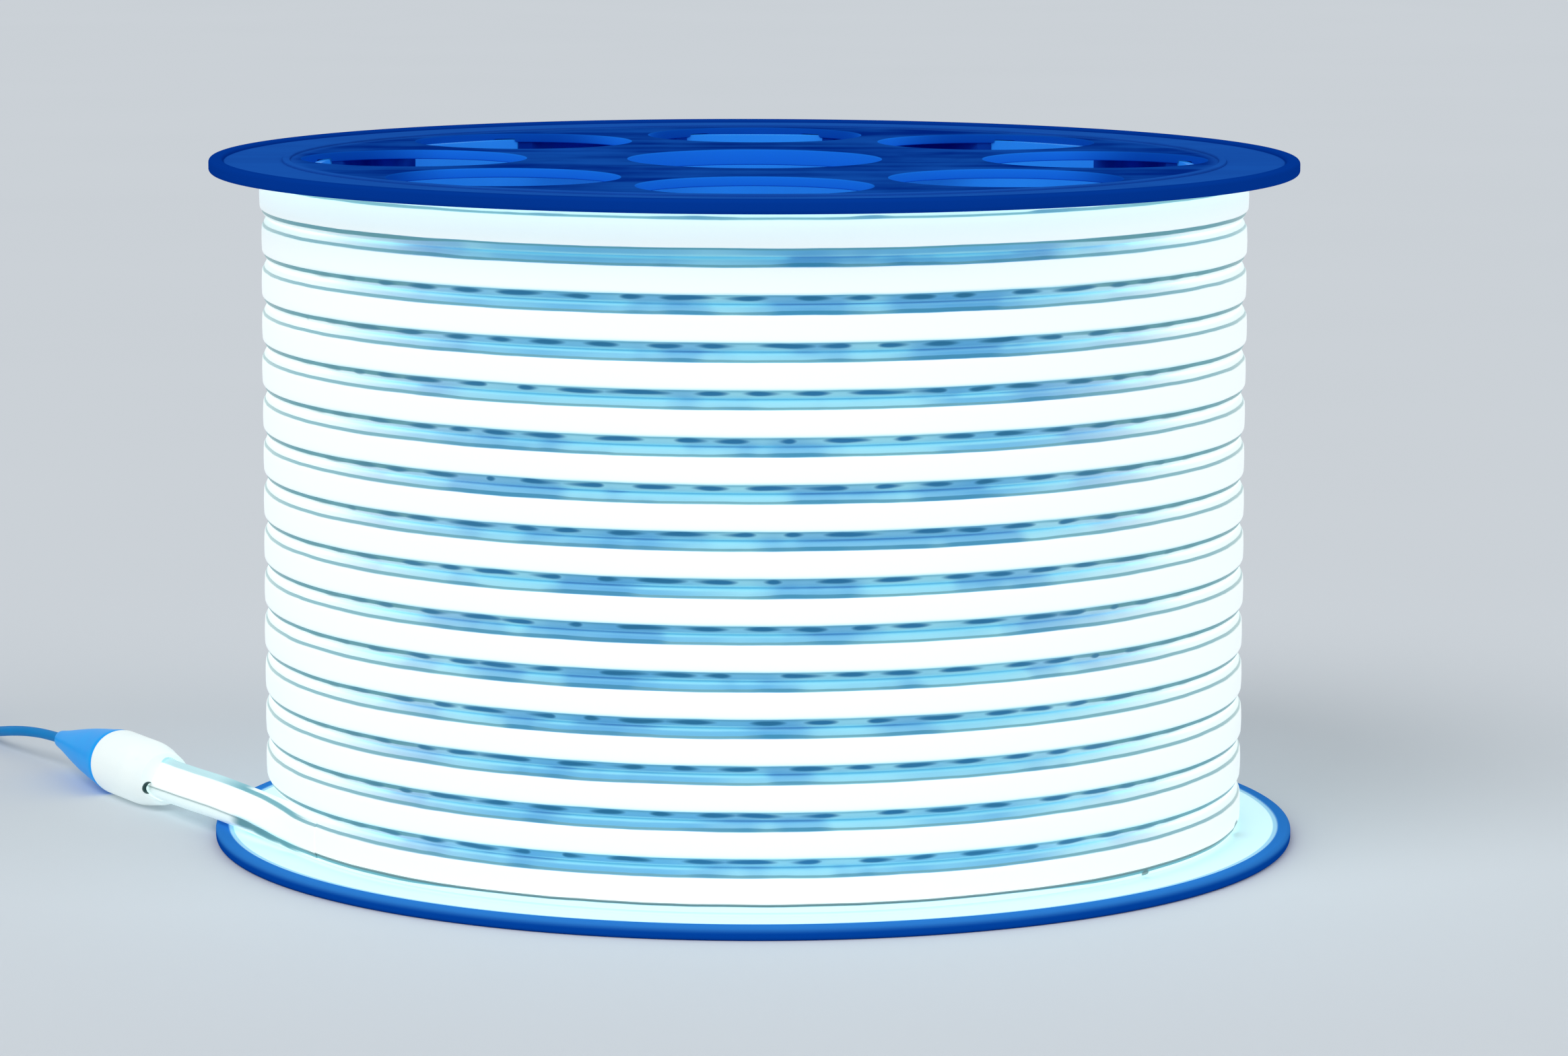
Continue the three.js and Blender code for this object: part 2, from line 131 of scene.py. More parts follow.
# Handling of pieces
def take(piece):
    bpy.ops.object.select_all(action="DESELECT")
    piece.select_set(True)
    bpy.context.view_layer.objects.active = piece


def start(name):
    """The primitive that an operator has just added, under the piece's name."""
    piece = bpy.context.object
    piece.name = name
    piece.data.name = name
    return piece


def modify(piece, kind, **settings):
    modifier = piece.modifiers.new(kind.lower(), kind)
    for setting, value in settings.items():
        setattr(modifier, setting, value)
    take(piece)
    bpy.ops.object.modifier_apply(modifier=modifier.name)


def combine(piece, other, operation):
    modify(piece, "BOOLEAN", object=other, operation=operation, solver="EXACT")
    bpy.data.objects.remove(other)


def settle(piece, matrix):
    """Moves a piece to its place, and leaves its object at the origin."""
    take(piece)
    piece.matrix_world = matrix
    bpy.ops.object.transform_apply(location=True, rotation=True, scale=True)


def smooth_faces(piece, degrees=35):
    take(piece)
    bpy.ops.object.shade_smooth_by_angle(angle=math.radians(degrees))


def edit(piece):
    take(piece)
    bpy.ops.object.mode_set(mode="EDIT")
    bpy.ops.mesh.select_all(action="SELECT")


def leave_edit():
    bpy.ops.object.mode_set(mode="OBJECT")


def spun(name, section, steps):
    """A ring turned about Z from a closed section of (radius, height) points."""
    bpy.ops.object.select_all(action="DESELECT")
    bpy.ops.mesh.primitive_circle_add(vertices=len(section), radius=1)
    piece = start(name)
    for vertex, (radius, height) in zip(piece.data.vertices, section):
        vertex.co = (radius, 0, height)
    edit(piece)
    bpy.ops.mesh.spin(steps=steps, angle=2 * math.pi, center=(0, 0, 0), axis=(0, 0, 1))
    bpy.ops.mesh.select_all(action="SELECT")
    bpy.ops.mesh.remove_doubles(threshold=1e-6)
    bpy.ops.mesh.normals_make_consistent(inside=False)
    leave_edit()
    return piece


def turned(name, profile, vertices):
    """A solid drawn up Z from a disc, through each (radius, height) of its profile."""
    radius, height = profile[0]
    bpy.ops.object.select_all(action="DESELECT")
    bpy.ops.mesh.primitive_circle_add(vertices=vertices, radius=radius, fill_type="NGON")
    piece = start(name)
    edit(piece)
    bpy.ops.transform.translate(value=(0, 0, height))
    for next_radius, next_height in profile[1:]:
        rise = (0, 0, next_height - height)
        bpy.ops.mesh.extrude_region_move(TRANSFORM_OT_translate={"value": rise})
        share = next_radius / radius
        bpy.ops.transform.resize(value=(share, share, 1), center_override=(0, 0, 0))
        radius = next_radius
        height = next_height
    bpy.ops.mesh.select_all(action="SELECT")
    bpy.ops.mesh.normals_make_consistent(inside=False)
    leave_edit()
    return piece


def rounded_block(name, size, corner, segments):
    """A box with rounded edges."""
    bpy.ops.object.select_all(action="DESELECT")
    bpy.ops.mesh.primitive_cube_add(size=1)
    piece = start(name)
    edit(piece)
    bpy.ops.transform.resize(value=size, center_override=(0, 0, 0))
    bpy.ops.mesh.bevel(offset=corner, segments=segments, affect="EDGES")
    leave_edit()
    return piece


def arc(centre, radius, start_degrees, end_degrees, steps):
    points = []
    for i in range(steps + 1):
        angle = math.radians(start_degrees + (end_degrees - start_degrees) * i / steps)
        points.append((centre[0] + radius * math.cos(angle), centre[1] + radius * math.sin(angle)))
    return points


def rounded_section(left, right, low, high, corner, steps):
    """A rectangle with round corners, as a closed loop of points."""
    points = arc((right - corner, high - corner), corner, 0, 90, steps)
    points += arc((left + corner, high - corner), corner, 90, 180, steps)
    points += arc((left + corner, low + corner), corner, 180, 270, steps)
    points += arc((right - corner, low + corner), corner, 270, 360, steps)
    return points


def eased(share):
    held = min(max(share, 0), 1)
    return held * held * (3 - 2 * held)


def through(points, spacing):
    """A smooth line through given points, as points at most a spacing apart."""
    line = []
    count = len(points)
    for i in range(count - 1):
        before = points[max(i - 1, 0)]
        a = points[i]
        b = points[i + 1]
        after = points[min(i + 2, count - 1)]
        steps = max(1, math.ceil((b - a).length / spacing))
        for step in range(steps):
            t = step / steps
            pull = (b - before) * t + (2 * before - 5 * a + 4 * b - after) * t ** 2
            pull += (3 * a - before - 3 * b + after) * t ** 3
            line.append(a + pull / 2)
    line.append(points[-1])
    return line


# Shader maths
class Link:
    """An output of a material's node, which takes Python's own operators."""

    def __init__(self, finish, socket):
        self.finish = finish
        self.socket = socket

    def other(self, output):
        """Another output of the same node."""
        return Link(self.finish, self.socket.node.outputs[output])

    def maths(self, operation, *values):
        return self.finish.node("Math", {"operation": operation}, dict(enumerate(values)))

    def __add__(self, other):
        return self.maths("ADD", self, other)

    def __sub__(self, other):
        return self.maths("SUBTRACT", self, other)

    def __rsub__(self, other):
        return self.maths("SUBTRACT", other, self)

    def __mul__(self, other):
        return self.maths("MULTIPLY", self, other)

    def __truediv__(self, other):
        return self.maths("DIVIDE", self, other)

    def __mod__(self, other):
        return self.maths("FLOORED_MODULO", self, other)

    def __pow__(self, other):
        return self.maths("POWER", self, other)

    def __abs__(self):
        return self.maths("ABSOLUTE", self)


class Finish:
    """A procedural material with one Principled surface."""

    def __init__(self, name, **surface):
        self.material = bpy.data.materials.new(name)
        self.material.use_nodes = True
        self.tree = self.material.node_tree
        self.shader = self.tree.nodes["Principled BSDF"]
        self.set_surface(**surface)

    def node(self, kind, settings=None, values=None, output=0):
        """Adds a node: its settings first, then the values or links of its sockets."""
        made = self.tree.nodes.new("ShaderNode" + kind)
        for setting, value in (settings or {}).items():
            setattr(made, setting, value)
        for socket, value in (values or {}).items():
            self.feed(made.inputs[socket], value)
        return Link(self, made.outputs[output])

    def feed(self, socket, value):
        if isinstance(value, Link):
            self.tree.links.new(value.socket, socket)
        elif socket.type == "RGBA" and len(value) == 3:
            socket.default_value = (*value, 1)
        else:
            socket.default_value = value

    def set_surface(self, **surface):
        for name, value in surface.items():
            self.feed(self.shader.inputs[name.replace("_", " ")], value)

    def place(self):
        return self.node("TexCoord", output="Object")

    def scaled(self, scale):
        """The place, each axis times its own number."""
        return self.node("VectorMath", {"operation": "MULTIPLY"}, {0: self.place(), 1: scale})

    def away(self, point, scale=(1, 1, 1)):
        """Distance from a point, both scaled along the axes first."""
        values = {0: self.scaled(scale), 1: point * Vector(scale)}
        return self.node("VectorMath", {"operation": "DISTANCE"}, values, output="Value")

    def noise(self, scale, detail=2, vector=None):
        values = {"Vector": vector or self.place(), "Scale": scale, "Detail": detail}
        return self.node("TexNoise", values=values)

    def noise_along(self, distance):
        settings = {"noise_dimensions": "1D"}
        return self.node("TexNoise", settings, {"W": distance, "Scale": 1.0, "Detail": 1.0})

    def between(self, value, low, high):
        """0 below low, 1 above high, and eased between."""
        settings = {"interpolation_type": "SMOOTHSTEP"}
        return self.node("MapRange", settings, {"Value": value, "From Min": low, "From Max": high})

    def band(self, value, rise, fall, widened=0):
        """1 from the end of the rise to the start of the fall, which can be widened."""
        return self.between(value, *rise) * (1 - self.between(value - widened, *fall))

    def mix(self, factor, first, second):
        return self.node("Mix", {"data_type": "RGBA"}, {0: factor, 6: first, 7: second}, output=2)

    def bump(self, height, distance, strength):
        values = {"Height": height, "Distance": distance, "Strength": strength}
        return self.node("Bump", values=values)


# Finishes
def lit_jacket():
    """Milky jacket lit from inside, with painted shade and a painted blue reflection on its shoulders. Its
    map runs in lamps along the rope, and 0 to 1 across it.
    """
    jacket = Finish("lit_jacket", Roughness=0.38, Specular_IOR_Level=0.15, Emission_Strength=0.32)
    between = jacket.between
    band = jacket.band
    mix = jacket.mix

    # Where a point is: lamps along the rope, mm across it, and metres round the drum and up it
    along = jacket.node("SeparateXYZ", values={0: jacket.node("UVMap", {"uv_map": "rope"})})
    width = (along.other(1) - 0.5) * (rope_width / MM)
    x = jacket.node("SeparateXYZ", values={0: jacket.place()})
    y = x.other(1)
    z = x.other(2)
    upper = between(width, -1, 1)
    lower = 1 - upper
    edge = abs(width) + (jacket.noise(45, detail=3) - 0.5) * 0.5
    free = jacket.node("Attribute", {"attribute_name": "free_length"}, output="Fac")
    tail = between(free, 0, 20 * MM)
    loose = between(free, 50 * MM, 60 * MM)
    far_out = between(free, 55 * MM, 80 * MM)
    side = 1 - between(abs(y), 0.108, 0.134)
    far_side = 1 - between(abs(y), 0.020, 0.075)
    top_turn = between(z, roll_top - 1.5 * turn_pitch, roll_top - 1.2 * turn_pitch)
    under_flange = between(z, roll_top - 0.5 * turn_pitch, roll_top - 0.4 * turn_pitch)
    off_bottom = between(z, roll_bottom + 0.3 * turn_pitch, roll_bottom + 0.5 * turn_pitch)
    bottom_turn = (1 - off_bottom) * (1 - tail)
    dashed = between(abs(y), 0.045, 0.115)
    dashed = (dashed + (1 - dashed) * tail) * (1 - top_turn) * (1 - bottom_turn)
    # Facing: the front and back of the drum, where the shoulders take the painted reflection, the dashes
    # their darker painted shade, and the glow is dimmed
    facing = between(abs(y), 0.070, 0.142) * (1 - bottom_turn * 0.85) * (1 - under_flange * 0.8)

    # The dashes, painted shade in the crease between turns: one a lamp, of uneven length and slightly out
    # of line
    drift = jacket.noise_along(along * 0.35)
    uneven = jacket.noise_along(along * 0.6)
    beat = abs((along + drift * 0.9) % 1.0 - 0.5) * 2
    reach = ((uneven - 0.5) * 1.5 + 0.68) * (tail * 0.8 + 1)
    wander = (jacket.noise(70, detail=1) - 0.5) * 0.9
    dash = 1 - (beat / reach) ** 2 - ((edge + wander - 5.0) / (tail * 0.6 + 0.8)) ** 2
    cloud = jacket.noise(11, detail=3)
    dash_shade_colour = mix(cloud, (0.02, 0.16, 0.24), (0.03, 0.20, 0.48))
    dash_shade_colour = mix(facing, (0.10, 0.27, 0.31), dash_shade_colour)

    # The shoulders of the wound rope: a painted reflection of blue surroundings in front, lighter at the
    # crease, pale on the sides, with a painted shade line on each
    sky = mix(between(cloud, 0.40, 0.60), (0.15, 0.49, 0.76), (0.33, 0.73, 0.87))
    sky = mix(between(edge, 5.8, 6.4), sky, (0.32, 0.74, 0.88))
    patch = jacket.noise(32)
    sky = mix(between(patch, 0.47, 0.62) * 0.55, sky, (0.09, 0.36, 0.68))
    wound = mix(facing, (0.86, 0.99, 0.98), sky)
    top_line = band(edge, (3.9, 4.2), (4.4, 4.8), side * 0.8) * lower
    side_line_shade = mix(far_side, (0.13, 0.34, 0.39), (0.32, 0.47, 0.48))
    line_shade_colour = mix(side, (0.12, 0.38, 0.48), side_line_shade)
    wound = mix(top_line * (1 - dashed * (1 - side) * 0.6), wound, line_shade_colour)
    wound = mix(between(dash, -0.4, 0.8) * dashed * lower, wound, dash_shade_colour)
    in_patch = between(patch, 0.46, 0.64) * (1 - side)
    ridge_line = band(edge, (4.0, 4.25), (4.65, 4.9), side * 0.3 + in_patch * 0.45) * upper
    ridge_shade_colour = mix(far_side, (0.15, 0.37, 0.43), (0.38, 0.53, 0.53))
    ridge_shade_colour = mix(in_patch, ridge_shade_colour, (0.04, 0.24, 0.40))
    wound = mix(ridge_line * 0.85, wound, ridge_shade_colour)
    # On the tail near the drum, a painted shade line along the upper shoulder
    far_line = between(edge, 4.1, 4.5) * (1 - between(edge, 5.4, 5.9) * (1 - loose))
    wound = mix(far_line * upper * tail, wound, (0.16, 0.40, 0.46))

    # The shoulders of the tail, off the drum: painted shade, a teal band on the upper shoulder near the
    # drum and paler further out, the lower shoulder greyer, and a shade line at its window step
    far_shoulder = mix(far_out, (0.14, 0.38, 0.45), (0.46, 0.70, 0.74))
    far_shoulder = mix(far_line, (0.85, 0.98, 1.0), far_shoulder)
    off_drum = mix(upper, (0.78, 0.92, 0.92), far_shoulder)
    near_line = band(edge, (3.9, 4.1), (4.3, 4.7)) * lower
    off_drum = mix(near_line, off_drum, (0.42, 0.53, 0.52))

    # The window that the light comes out of, its lower edge fading to cyan as painted shade, and the
    # painted shade and dark spots over all
    fade = between(edge, 3.1, 4.1) * lower * dashed * (1 - loose)
    window = mix(fade, (0.92, 0.99, 0.99), (0.50, 0.84, 0.92))
    off_window = between(edge, 3.85, 4.1)
    colour = mix(off_window, window, mix(loose, wound, off_drum))
    # A painted shade line along the bottom turn's lower window edge, just above the flange
    contact = band(edge, (3.6, 3.8), (4.4, 4.8)) * lower * bottom_turn
    colour = mix(contact * 0.85, colour, shade_and_spot_colour)
    for spot, size in dark_spots:
        away = jacket.away(Vector(spot) * MM, spot_stretch)
        in_spot = 0.85 - between(away, size * 0.6, size) * 0.85
        colour = mix(in_spot, colour, shade_and_spot_colour)
    grain = jacket.noise(900, detail=4)
    ripple = jacket.noise(60)
    # The rope glows with its own light, dimmed on the shoulders in front and behind as painted shade
    jacket.set_surface(
        Base_Color=colour,
        Emission_Color=mix(off_window * facing * 0.4, colour, (0, 0, 0)),
        Normal=jacket.bump(grain * 0.3 + ripple, 0.25 * MM, 0.35),
    )
    return jacket.material


def reel_plastic():
    """Deep blue moulded plastic without a sheen, pale where the lit rope shines on it."""
    plastic = Finish("reel_plastic", Specular_IOR_Level=0.0, Emission_Strength=0.3)
    between = plastic.between
    mix = plastic.mix

    # Where a point is: round the axis, from it, and in from the nearer end of the reel
    x = plastic.node("SeparateXYZ", values={0: plastic.place()})
    y = x.other(1)
    height = x.other(2)
    radius = (x * x + y * y) ** 0.5
    from_end = reel_height / 2 - abs(height - reel_height / 2)
    rim_inside = flange_radius - rim_width

    # The body: streaky, with a lighter ring outside the ridge and a plain rim
    flow = plastic.noise(30, detail=4)
    streak = plastic.noise(1.0, detail=4, vector=plastic.scaled(streak_scale))
    deep = mix(between(flow + streak, 0.7, 1.3), (0.0, 0.020, 0.25), (0.006, 0.085, 0.46))
    outer_ring = between(radius, ridge_radius - 6 * MM, ridge_radius)
    outer_ring = outer_ring * (1 - between(radius, rim_inside - 0.6 * MM, rim_inside))
    deep = mix(outer_ring * 0.8, deep, (0.012, 0.11, 0.52))
    deep = mix(between(radius, rim_inside - 0.4 * MM, rim_inside), deep, (0.001, 0.045, 0.35))
    # The lower flange painted lighter towards its top face, as lit by the rope, and darker below as painted
    # shade
    low_flange_shading = between(height, 1.9 * MM, 3.9 * MM)
    low_flange_shading = mix(low_flange_shading, (0.001, 0.07, 0.42), (0.03, 0.22, 0.68))
    body = mix(between(height, reel_height / 4, reel_height / 3), low_flange_shading, deep)

    # The faces towards the rope: a painted glow from the lit rope, with a painted shade line at the rim's
    # step
    past_drum = between(radius, tube_outer, tube_outer + 2 * MM)
    inside_rim = 1 - between(radius, rim_inside, rim_inside + 0.8 * MM)
    shone_on = between(from_end, 3.3 * MM, 3.9 * MM) * past_drum * inside_rim
    step_shade = between(radius, rim_inside - 1.2 * MM, rim_inside - 0.8 * MM)
    lit_face = mix(step_shade * 0.7, (0.66, 0.93, 0.98), (0.20, 0.48, 0.72))
    colour = mix(shone_on, body, lit_face)

    # The walls of the hub hole and of the windows, found by folding the turn to one window, with a painted
    # glow, lighter towards the axis
    turn = plastic.node("Math", {"operation": "ARCTAN2"}, {0: y, 1: x})
    window_step = 2 * math.pi / window_count
    folded = (turn + window_step / 2) % window_step - window_step / 2
    chord = plastic.node("Math", {"operation": "COSINE"}, {0: folded}) * radius
    aside = plastic.node("Math", {"operation": "SINE"}, {0: folded}) * radius
    inward = chord - window_circle
    from_window = (inward * inward + aside * aside) ** 0.5
    in_window = 1 - between(from_window, window_radius + 0.1 * MM, window_radius + 0.5 * MM)
    in_hub = 1 - between(radius, hub_radius + 0.1 * MM, hub_radius + 0.5 * MM)
    in_hole = in_window + in_hub
    hole_wall_glow = mix(between(radius, 0.100, 0.130), (0.008, 0.15, 0.66), (0.002, 0.06, 0.36))
    colour = mix(in_hole, colour, hole_wall_glow)
    glow = mix(shone_on, (0, 0, 0), lit_face)
    plastic.set_surface(
        Base_Color=colour,
        Emission_Color=mix(in_hole, glow, hole_wall_glow),
        Roughness=flow * 0.12 + 0.34,
        Normal=plastic.bump(plastic.noise(1400), 0.05 * MM, 0.25),
    )
    return plastic.material


def tube_plastic():
    """Blue tube that glows a little, with the rope behind it."""
    plastic = Finish("tube_plastic", Specular_IOR_Level=0.1, Emission_Strength=0.3)
    cloud = plastic.noise(25, detail=3)
    colour = plastic.mix(cloud, (0.008, 0.17, 0.64), (0.02, 0.27, 0.82))
    fine = plastic.noise(700, detail=3)
    plastic.set_surface(
        Base_Color=colour,
        Emission_Color=colour,
        Roughness=cloud * 0.15 + 0.35,
        Normal=plastic.bump(fine, 0.08 * MM, 0.3),
    )
    return plastic.material


def moulded(name, first, second, roughness, specular=0.4, metallic=0.0, grain=900, glow=0.0):
    """Plain moulded or drawn stuff: cloudy colour, fine grain, and a painted glow where glow is given."""
    stuff = Finish(name, Specular_IOR_Level=specular, Metallic=metallic, Emission_Strength=glow)
    cloud = stuff.noise(120, detail=3)
    fine = stuff.noise(grain, detail=3)
    colour = stuff.mix(cloud, first, second)
    stuff.set_surface(
        Base_Color=colour,
        Emission_Color=colour,
        Roughness=cloud * 0.12 + (roughness - 0.06),
        Normal=stuff.bump(fine, 0.05 * MM, 0.3),
    )
    return stuff.material


def feed_shell():
    """White shell with a little painted glow, painted shade in the small gap beside the rope, and a small
    grey spot.
    """
    shell = Finish("feed_shell", Specular_IOR_Level=0.3, Emission_Strength=0.22)
    cloud = shell.noise(90, detail=3)
    # Painted shade in the small gap beside the rope, and a small grey spot higher up
    gap_shade = 1 - shell.between(shell.away(gap_place), gap_radius + 0.1 * MM, gap_radius + 0.5 * MM)
    grey_spot = 0.4 - shell.between(shell.away(grey_spot_place), 0.5 * MM, 1.6 * MM) * 0.4
    colour = shell.mix(cloud, (0.84, 0.95, 0.95), (0.94, 0.99, 0.96))
    colour = shell.mix(gap_shade, colour, (0.02, 0.06, 0.06))
    colour = shell.mix(grey_spot, colour, (0.55, 0.64, 0.62))
    shell.set_surface(
        Base_Color=colour,
        Emission_Color=colour,
        Roughness=cloud * 0.12 + 0.29,
        Normal=shell.bump(shell.noise(900, detail=3), 0.05 * MM, 0.3),
    )
    return shell.material


rope_finish = lit_jacket()
flange_finish = reel_plastic()
tube_finish = tube_plastic()
white_finish = moulded("white_plastic", (0.80, 0.86, 0.87), (0.88, 0.92, 0.92), 0.35)
shell_finish = feed_shell()
# The boot glows a little: painted glow
boot_finish = moulded(
    "boot_plastic", (0.003, 0.30, 0.84), (0.012, 0.40, 0.95), 0.35, specular=0.08, glow=0.16,
)
# The lead glows a little: painted glow
lead_finish = moulded(
    "lead_jacket", (0.001, 0.20, 0.54), (0.003, 0.25, 0.64), 0.5, specular=0.08, grain=2500, glow=0.06,
)
brass_finish = moulded("contact_brass", (0.70, 0.50, 0.22), (0.80, 0.60, 0.28), 0.3, metallic=1.0)
board_finish = moulded("board_laminate", (0.02, 0.14, 0.05), (0.03, 0.19, 0.07), 0.55)
resin_finish = moulded("black_resin", (0.012, 0.012, 0.014), (0.022, 0.022, 0.025), 0.5, grain=1800)
brown_finish = moulded("wire_brown", (0.14, 0.05, 0.02), (0.19, 0.07, 0.03), 0.45)
blue_finish = moulded("wire_blue", (0.02, 0.10, 0.42), (0.03, 0.14, 0.52), 0.45)
nickel_finish = moulded(
    "pin_nickel", (0.62, 0.63, 0.65), (0.72, 0.73, 0.75), 0.25, metallic=1.0, grain=3000,
)


def hand_over(piece, finish, slot, *nodes):
    """Gives a finished piece its material, and its place in the frame."""
    piece.data.materials.clear()
    piece.data.materials.append(finish)
    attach(piece, "root")
    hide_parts(*nodes)
    return piece


# Rope light's section: a raised window between two sloping shoulders, (outward, across) in mm
def rope_half_section():
    window_edge = 4.05
    crown = rope_thickness / 2 / MM
    edge = rope_width / 2 / MM
    return [
        (crown + 0.04, 0.0),
        (crown, 2.2),
        (crown - 0.08, window_edge - 0.35),
        (crown - 0.22, window_edge),
        (crown - 0.55, window_edge + 0.2),
        (crown - 0.8, 5.2),
        (crown - 1.25, 6.0),
        (crown - 1.9, 6.5),
        (crown - 2.7, edge),
        (-crown + 2.3, edge),
        (-crown + 0.5, edge - 0.7),
        (-crown, edge - 2.2),
    ]


def rope_section():
    half = rope_half_section()
    other = [(out, -across) for out, across in half[:0:-1]]
    return [(out * MM, across * MM) for out, across in half + other]


def swept_rope(name, runs, free=False):
    """One mesh along runs of (points, outward sides, metres along), each closed at its ends."""
    section = rope_section()
    count = len(section)
    vertices = []
    faces = []
    places = []
    free_lengths = []
    for points, sides, metres in runs:
        first = len(vertices)
        for i, point in enumerate(points):
            ahead = points[min(i + 1, len(points) - 1)] - points[max(i - 1, 0)]
            ahead.normalize()
            across = ahead.cross(sides[i]).normalized()
            outward = sides[i] - ahead * sides[i].dot(ahead)
            outward.normalize()
            for out, up in section:
                vertices.append(point + outward * out + across * up)
                places.append((metres[i] / lamp_pitch, 0.5 + up / rope_width))
                free_lengths.append(metres[i] if free else 0)
        for i in range(len(points) - 1):
            a = first + i * count
            for j in range(count):
                k = (j + 1) % count
                faces.append((a + j, a + k, a + count + k, a + count + j))
        faces.append(tuple(first + j for j in reversed(range(count))))
        last = first + (len(points) - 1) * count
        faces.append(tuple(last + j for j in range(count)))
    mesh = bpy.data.meshes.new(name)
    mesh.from_pydata(vertices, [], faces)
    piece = bpy.data.objects.new(name, mesh)
    bpy.context.scene.collection.objects.link(piece)
    layer = mesh.uv_layers.new(name="rope")
    for loop in mesh.loops:
        layer.data[loop.index].uv = places[loop.vertex_index]
    free_length = mesh.attributes.new("free_length", "FLOAT", "POINT")
    for vertex, value in zip(free_length.data, free_lengths):
        vertex.value = value
    edit(piece)
    bpy.ops.mesh.normals_make_consistent(inside=False)
    leave_edit()
    smooth_faces(piece, 50)
    return piece


def turn_height(turn):
    """Height of the rope's middle, a number of turns from the top: level, then a step at the back."""
    whole = math.floor(turn)
    step = eased((turn - whole - 1 + step_share) / step_share)
    return roll_top - (whole + 0.5 + step) * turn_pitch


# Waviness of the wound rope: how fast it changes round the drum and down it, and its shares
wave_round = 1.6
wave_down = 2.7
lift_share = 0.35
lean_share = 60


def wound_run(radius_at, first_turn, last_turn, steps_per_turn, loose):
    """A run of the rope round the drum. Loose is how far it strays from an even winding."""
    points = []
    sides = []
    metres = []
    count = round((last_turn - first_turn) * steps_per_turn)
    for i in range(count + 1):
        turn = first_turn + (last_turn - first_turn) * i / count
        angle = roll_start - 2 * math.pi * turn
        outward = Vector((math.cos(angle), math.sin(angle), 0))
        lap = Vector((outward.x * wave_round, outward.y * wave_round, turn * wave_down))
        swell = noise.noise(lap) * loose
        lift = noise.noise(lap + Vector((9, 4, 0))) * loose * lift_share
        lean = noise.noise(lap * 0.8 + Vector((3, 7, 1))) * loose * lean_share
        height = max(turn_height(turn) + lift, roll_bottom + rope_width / 2)
        height = min(height, roll_top - rope_width / 2)
        points.append(outward * (radius_at(turn) + swell) + Vector((0, 0, height)))
        sides.append(outward + Vector((0, 0, lean)))
        metres.append(2 * math.pi * outer_layer * turn)
    return points, sides, metres


def outer_radius(turn):
    climbed = eased(turn / climb_share)
    lift = first_turn_lift * math.sin(math.pi * eased(turn)) ** 2 if turn < 1 else 0
    return inner_layer + rope_thickness * climbed + lift


def make_roll():
    outer = wound_run(outer_radius, 0, turns - 1 + last_turn_share, 216, 0.3 * MM)
    inner = wound_run(lambda turn: inner_layer, 0.05, turns - 0.01, 60, 0)
    roll = swept_rope("rope_light_wound", [outer, inner])
    hand_over(roll, rope_finish, "lit_jacket", "rope_light_roll")


make_roll()


# Free tail of the rope
route_spacing = 1.5 * MM
tail_route = [
    (-130.4, -75.0, 11.0), (-138.4, -61.1, 11.0), (-146.4, -47.3, 11.2), (-154.4, -33.4, 11.4),
    (-162.4, -19.6, 11.5), (-170.4, -5.7, 11.4), (-178.4, 8.1, 11.0), (-185.4, 20.3, 10.7),
    (-189.9, 28.1, 10.607), (-193.7, 34.5, 10.607),
]
twist_start = 0.04
twist_end = 0.4


def make_tail():
    points = through([Vector(p) * MM for p in tail_route], route_spacing)
    sides = []
    metres = [0]
    for a, b in zip(points, points[1:]):
        metres.append(metres[-1] + (b - a).length)
    for i in range(len(points)):
        ahead = points[min(i + 1, len(points) - 1)] - points[max(i - 1, 0)]
        outward = Vector((-ahead.y, ahead.x, 0)).normalized()
        turn = eased((metres[i] / metres[-1] - twist_start) / (twist_end - twist_start)) * tail_lean
        sides.append(outward * math.cos(turn) + Vector((0, 0, math.sin(turn))))
    tail = swept_rope("rope_light_free_end", [(points, sides, metres)], free=True)
    hand_over(tail, rope_finish, "lit_jacket", "rope_light_tail")
    return tail, points, metres[-1]


tail, tail_points, tail_length = make_tail()


# Power lead: out of the boot, down to the floor, round the coil, and into the plug
lead_route = [
    (-219.7, 79.4, 10.607), (-225.5, 89.6, 10.607), (-231.7, 100.2, 10.607), (-235.0, 106.0, 10.5),
    (-240.6, 115.0, 10.0), (-246.8, 124.4, 9.0), (-252.8, 134.2, 7.4), (-258.2, 144.6, 5.4),
    (-262.9, 155.6, 3.4), (-266.9, 167.2, 2.2), (-270.6, 178.6, 1.8), (-274.7, 190.0, 2.1),
]
lead_end_route = [
    (-328.6, 182.2, 6.4), (-328.5, 177.5, 6.5), (-328.3, 172.5, 6.75), (-328.3, 168.0, 6.85),
    (-328.3, 160.3, 6.85),
]
coil_centre = Vector((-303, 196, 0)) * MM
coil_outer = 25.3
coil_floor = 2.8
coil_pitch = 3.4
spiral_turns = 3
lift_turns = 0.2
coil_join = math.radians(19)
coil_leave = math.radians(180)


def coil_points():
    """The coil's turns: in along the floor, up one layer, and out again on top."""
    total = 2 * spiral_turns + (coil_leave - coil_join) / (2 * math.pi)
    per_turn = 24
    count = round(total * per_turn)
    points = []
    for i in range(count + 1):
        turn = total * i / count
        inward = min(turn, spiral_turns)
        raised = min(max((turn - spiral_turns) / lift_turns, 0), 1)
        outward = min(max(turn - spiral_turns - lift_turns, 0), spiral_turns)
        radius = coil_outer - coil_pitch * inward + coil_pitch * outward
        height = coil_floor + coil_pitch * eased(raised)
        angle = coil_join + 2 * math.pi * turn
        away = Vector((math.cos(angle), math.sin(angle), 0)) * radius
        points.append(coil_centre + (away + Vector((0, 0, height))) * MM)
    return points


